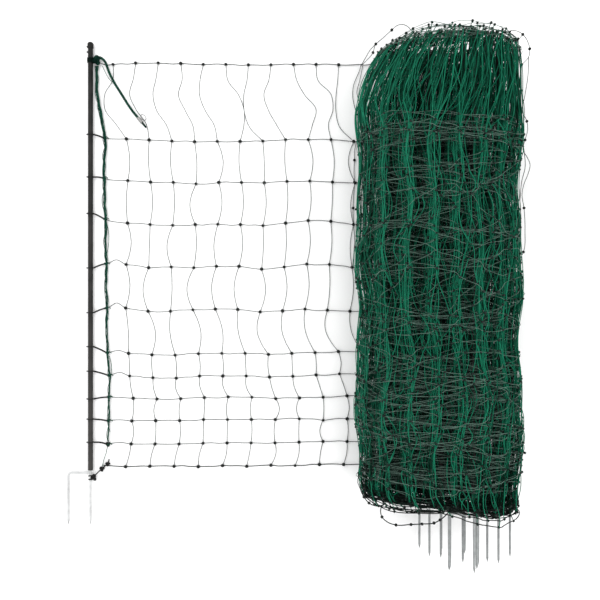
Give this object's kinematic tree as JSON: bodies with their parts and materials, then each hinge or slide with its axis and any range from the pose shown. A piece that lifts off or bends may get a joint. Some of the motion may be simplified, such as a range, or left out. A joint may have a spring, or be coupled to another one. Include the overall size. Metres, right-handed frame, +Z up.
{
  "type": "electric poultry netting",
  "caption": "Green electric poultry net lying flat: an end post and one panel unrolled, the rest rolled around its posts with the steel spikes standing out.",
  "frame": {"origin": "centre of the part's outline at ground level", "axes": "+Y up the posts, from the spikes to the caps; +X from the end post to the roll; +Z up from the ground it lies on"},
  "size_m": [1.2202, 1.3924, 0.28],
  "materials": {
    "post_plastic": "dark grey moulded plastic, paler towards the foot",
    "tie_black": "black twine and sleeve, slightly glossy",
    "cord_green": "green twisted polyethylene cord",
    "polywire": "green and black twisted polywire with steel strands",
    "galvanised_steel": "galvanised rod with ground points",
    "stainless_steel": "stainless crimp and wire"
  },
  "bodies": {
    "root": {"end_post_shaft": "post_plastic", "end_post_cap": "post_plastic", "end_post_foot": "galvanised_steel", "rolled_post_2_shaft": "post_plastic", "rolled_post_2_cap": "post_plastic", "rolled_post_2_foot": "galvanised_steel", "rolled_post_3_shaft": "post_plastic", "rolled_post_3_cap": "post_plastic", "rolled_post_3_foot": "galvanised_steel", "rolled_post_4_shaft": "post_plastic", "rolled_post_4_cap": "post_plastic", "rolled_post_4_foot": "galvanised_steel", "rolled_post_5_shaft": "post_plastic", "rolled_post_5_cap": "post_plastic", "rolled_post_5_foot": "galvanised_steel", "rolled_post_6_shaft": "post_plastic", "rolled_post_6_cap": "post_plastic", "rolled_post_6_foot": "galvanised_steel", "rolled_post_7_shaft": "post_plastic", "rolled_post_7_cap": "post_plastic", "rolled_post_7_foot": "galvanised_steel", "rolled_post_8_shaft": "post_plastic", "rolled_post_8_cap": "post_plastic", "rolled_post_8_foot": "galvanised_steel", "rolled_post_9_shaft": "post_plastic", "rolled_post_9_cap": "post_plastic", "rolled_post_9_foot": "galvanised_steel", "post_tie_2": "tie_black", "post_tie_3": "tie_black", "post_tie_4": "tie_black", "post_tie_5": "tie_black", "post_tie_6": "tie_black", "post_tie_7": "tie_black", "post_tie_8": "tie_black", "post_tie_9": "tie_black", "post_tie_10": "tie_black", "post_tie_11": "tie_black", "top_knot": "cord_green", "foot_tie": "tie_black", "gathered_cord": "cord_green", "netting_panel": "polywire", "rolled_netting": "polywire", "connector_lead": "cord_green", "lead_sleeve": "stainless_steel", "lead_stub": "cord_green", "lead_eye": "stainless_steel"}
  },
  "joints": []
}
